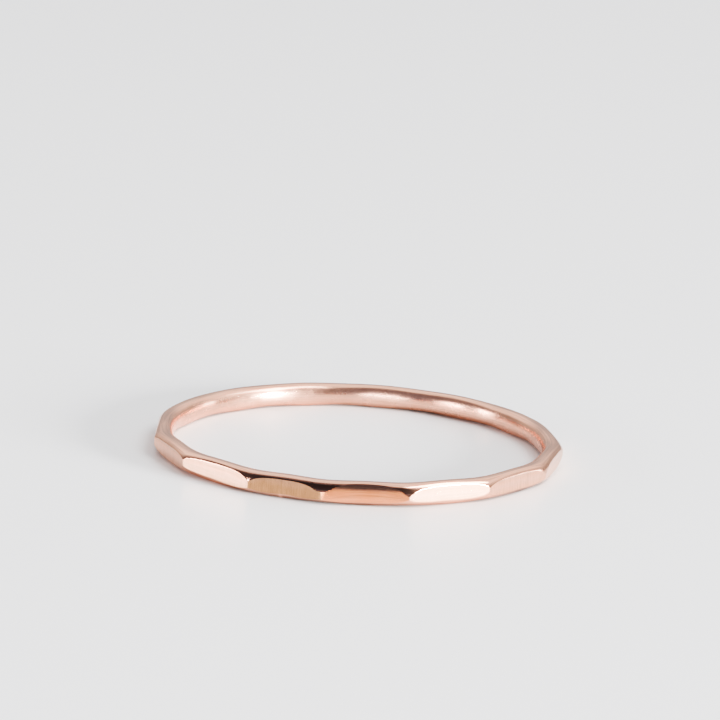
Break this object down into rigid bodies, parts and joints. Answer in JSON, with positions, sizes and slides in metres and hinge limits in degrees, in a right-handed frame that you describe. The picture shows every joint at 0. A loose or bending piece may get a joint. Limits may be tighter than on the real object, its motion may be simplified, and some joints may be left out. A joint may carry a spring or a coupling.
{
  "type": "hammered stackable ring",
  "caption": "Thin finger ring of rose gold wire with a hammered, faceted outside, made to be stacked with others.",
  "frame": {"origin": "on the ring's axis, in the plane it rests on when it lies on its side", "axes": "+Z runs along the finger and up; -Y is the side nearest to the camera; +X is to the right of that side"},
  "size_m": [0.0192, 0.0192, 0.0011],
  "materials": {
    "rose_gold": "polished rose gold, bright hammered flats and softer round sides"
  },
  "bodies": {
    "root": {"hammered_band": "rose_gold"}
  },
  "joints": []
}
